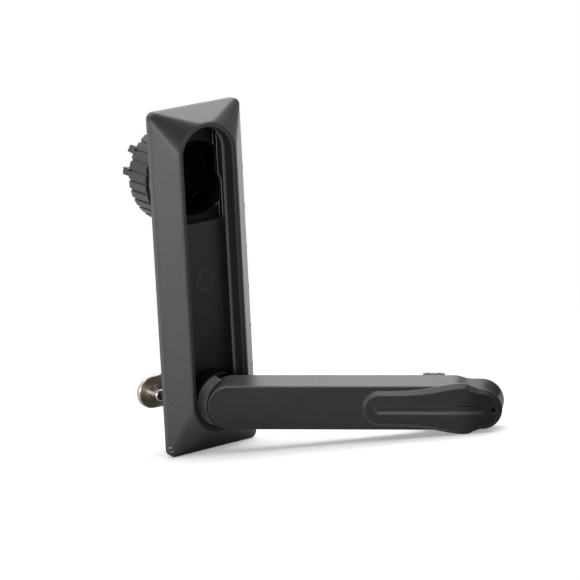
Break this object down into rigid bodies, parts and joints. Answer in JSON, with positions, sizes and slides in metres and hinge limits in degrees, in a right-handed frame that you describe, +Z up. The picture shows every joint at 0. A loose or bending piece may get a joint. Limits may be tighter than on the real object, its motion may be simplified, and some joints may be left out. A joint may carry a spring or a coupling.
{
  "type": "recessed swing handle",
  "caption": "Swing handle for a cabinet door: a long recessed dish, a lever that swings out and turns a spindle with a crank arm, and a lock under a swivelling cover.",
  "frame": {"origin": "where the spindle's axis meets the door's outer face", "axes": "+Z up along the dish, towards the lock pocket; -Y out of the door, towards the hand; +X across the dish, to the side the lever points at"},
  "size_m": [0.1534, 0.17, 0.205],
  "materials": {
    "black_plastic": "matte",
    "lever_plastic": "satin",
    "nut_plastic": "matte",
    "grey_gasket": "matte",
    "black_rubber": "matte",
    "plated_steel": "satin",
    "turned_steel": "satin",
    "bright_steel": "gloss",
    "spring_steel": "satin",
    "lock_casting": "matte",
    "lock_brass": "satin"
  },
  "bodies": {
    "dish_body": {"dish": "black_plastic", "boss_gasket": "grey_gasket", "clamp_nut": "nut_plastic", "neck_gasket": "black_rubber", "neck_nut": "plated_steel"},
    "rotor_body": {"rotor": "black_plastic", "thrust_washer": "plated_steel", "retaining_ring": "spring_steel", "spindle": "plated_steel", "crank_arm": "turned_steel", "crank_stud": "bright_steel", "arm_washer": "plated_steel", "arm_screw": "plated_steel", "hinge_pin": "spring_steel"},
    "lever_body": {"lever": "lever_plastic", "lock_case": "lock_casting", "cover_pin": "spring_steel"},
    "cover_body": {"key_cover": "lever_plastic"},
    "plug_body": {"lock_plug": "lock_brass"},
    "catch_body": {"lock_catch": "black_plastic"}
  },
  "joints": [
    {"name": "rotor_turn", "type": "hinge", "parent": "dish_body", "child": "rotor_body", "pos_m": [0, 0, 0], "axis": [0, -1, 0], "range_deg": [0, 90]},
    {"name": "lever_tilt", "type": "hinge", "parent": "rotor_body", "child": "lever_body", "pos_m": [-0.011, -0.015, 0], "axis": [0, 0, 1], "range_deg": [0, 15]},
    {"name": "cover_swivel", "type": "hinge", "parent": "lever_body", "child": "cover_body", "pos_m": [0.10781, -0.13432, 0], "axis": [-0.6743, -0.7385, 0], "range_deg": [-90, 90]},
    {"name": "lock_turn", "type": "hinge", "parent": "lever_body", "child": "plug_body", "pos_m": [0.08108, -0.10992, 0], "axis": [0.6743, 0.7385, 0], "range_deg": [0, 90]},
    {"name": "catch_slide", "type": "slide", "parent": "lever_body", "child": "catch_body", "axis": [0.7385, -0.6743, 0], "range_m": [0, 0.006]}
  ],
  "couplings": [
    {"joint": "catch_slide", "follows": "lock_turn", "m_per_rad": 0.003819}
  ]
}
